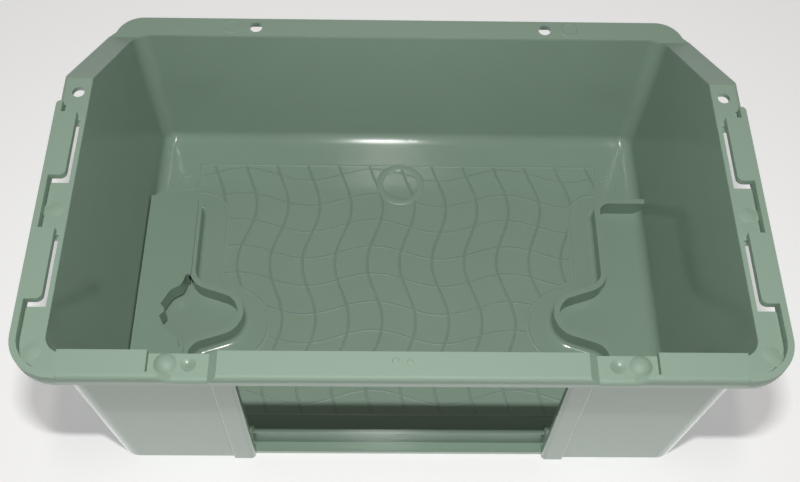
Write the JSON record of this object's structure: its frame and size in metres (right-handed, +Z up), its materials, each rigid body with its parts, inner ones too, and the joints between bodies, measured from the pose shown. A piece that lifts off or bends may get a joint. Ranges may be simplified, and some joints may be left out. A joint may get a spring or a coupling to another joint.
{
  "type": "pet transport box",
  "caption": "Base tub of a transport box for birds and small pets, with moulded feeders beside the floor and a lift-off cover on the left one.",
  "frame": {"origin": "on the ground, under the middle of the rim's outline", "axes": "+X to the right as seen from the open front, +Y from the open front to the rear, +Z up"},
  "size_m": [0.34, 0.242, 0.13],
  "materials": {
    "tub_plastic": "glossy moulded sage green, with a fine grain on the rims",
    "cover_plastic": "satin moulded sage green"
  },
  "bodies": {
    "tub": {"base_tub": "tub_plastic"},
    "feeder_cover": {"left_feeder_cover": "cover_plastic"}
  },
  "joints": [
    {"name": "cover_lift", "type": "slide", "parent": "tub", "child": "feeder_cover", "axis": [0, 0, 1], "range_m": [0, 0.135]}
  ]
}
